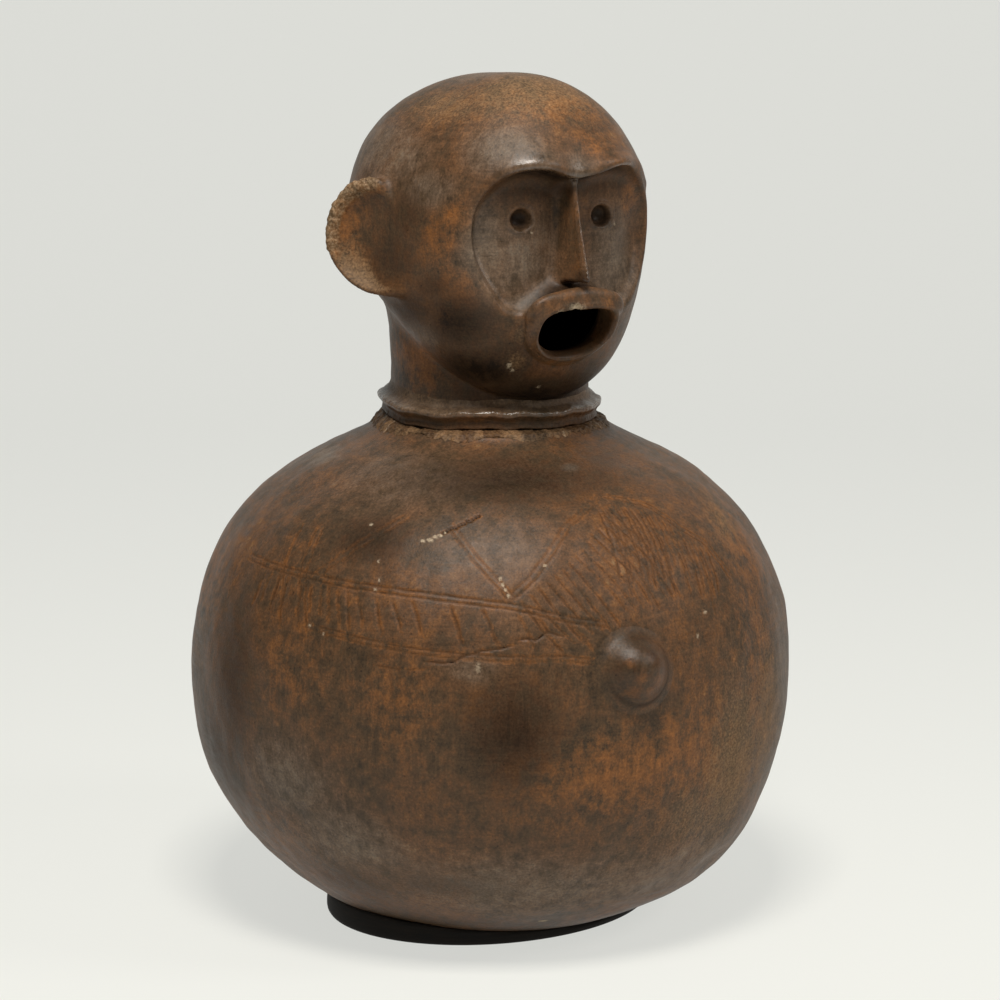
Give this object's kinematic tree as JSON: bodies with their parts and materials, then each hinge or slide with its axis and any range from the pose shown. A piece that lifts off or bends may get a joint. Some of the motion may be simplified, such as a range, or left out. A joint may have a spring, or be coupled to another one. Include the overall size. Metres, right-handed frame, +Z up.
{
  "type": "figural vessel",
  "caption": "Hand-built round clay vessel with a short neck and a hollow figural head with open mouth, dished face and cupped ears, seated in a low black ring stand.",
  "frame": {"origin": "on the floor, under the middle of the whole object's box; the pot's axis is 6.6 mm behind it along +Y", "axes": "+Z up; the figure looks along -Y, its right side is -X"},
  "size_m": [0.423, 0.4351, 0.5846],
  "materials": {
    "body_clay": "low-fired brown earthenware, burnished by hand, smoke clouds and orange flashes, satin",
    "head_clay": "low-fired brown earthenware, burnished, worn paler on the crown, satin",
    "dark_burnished_clay": "smoked earthenware polished by touch, dark red-brown, semi-gloss",
    "ear_clay": "unburnished ochre earthenware, matt",
    "luting_clay": "pale joint clay, crumbly, matt",
    "black_ring": "turned wooden ring stained matt black"
  },
  "bodies": {
    "stand": {"ring_stand": "black_ring"},
    "vessel": {"body_bowl": "body_clay", "body_shoulder": "body_clay", "navel_boss": "dark_burnished_clay", "head_shell": "head_clay", "nose": "head_clay", "neck_tube": "head_clay", "neck_collar": "dark_burnished_clay", "luting_seam": "luting_clay", "lip_ring": "dark_burnished_clay", "ear_right": "ear_clay", "ear_left": "ear_clay"}
  },
  "joints": [
    {"name": "vessel_lift", "type": "slide", "parent": "stand", "child": "vessel", "axis": [0, 0, 1], "range_m": [0, 0.12]}
  ]
}
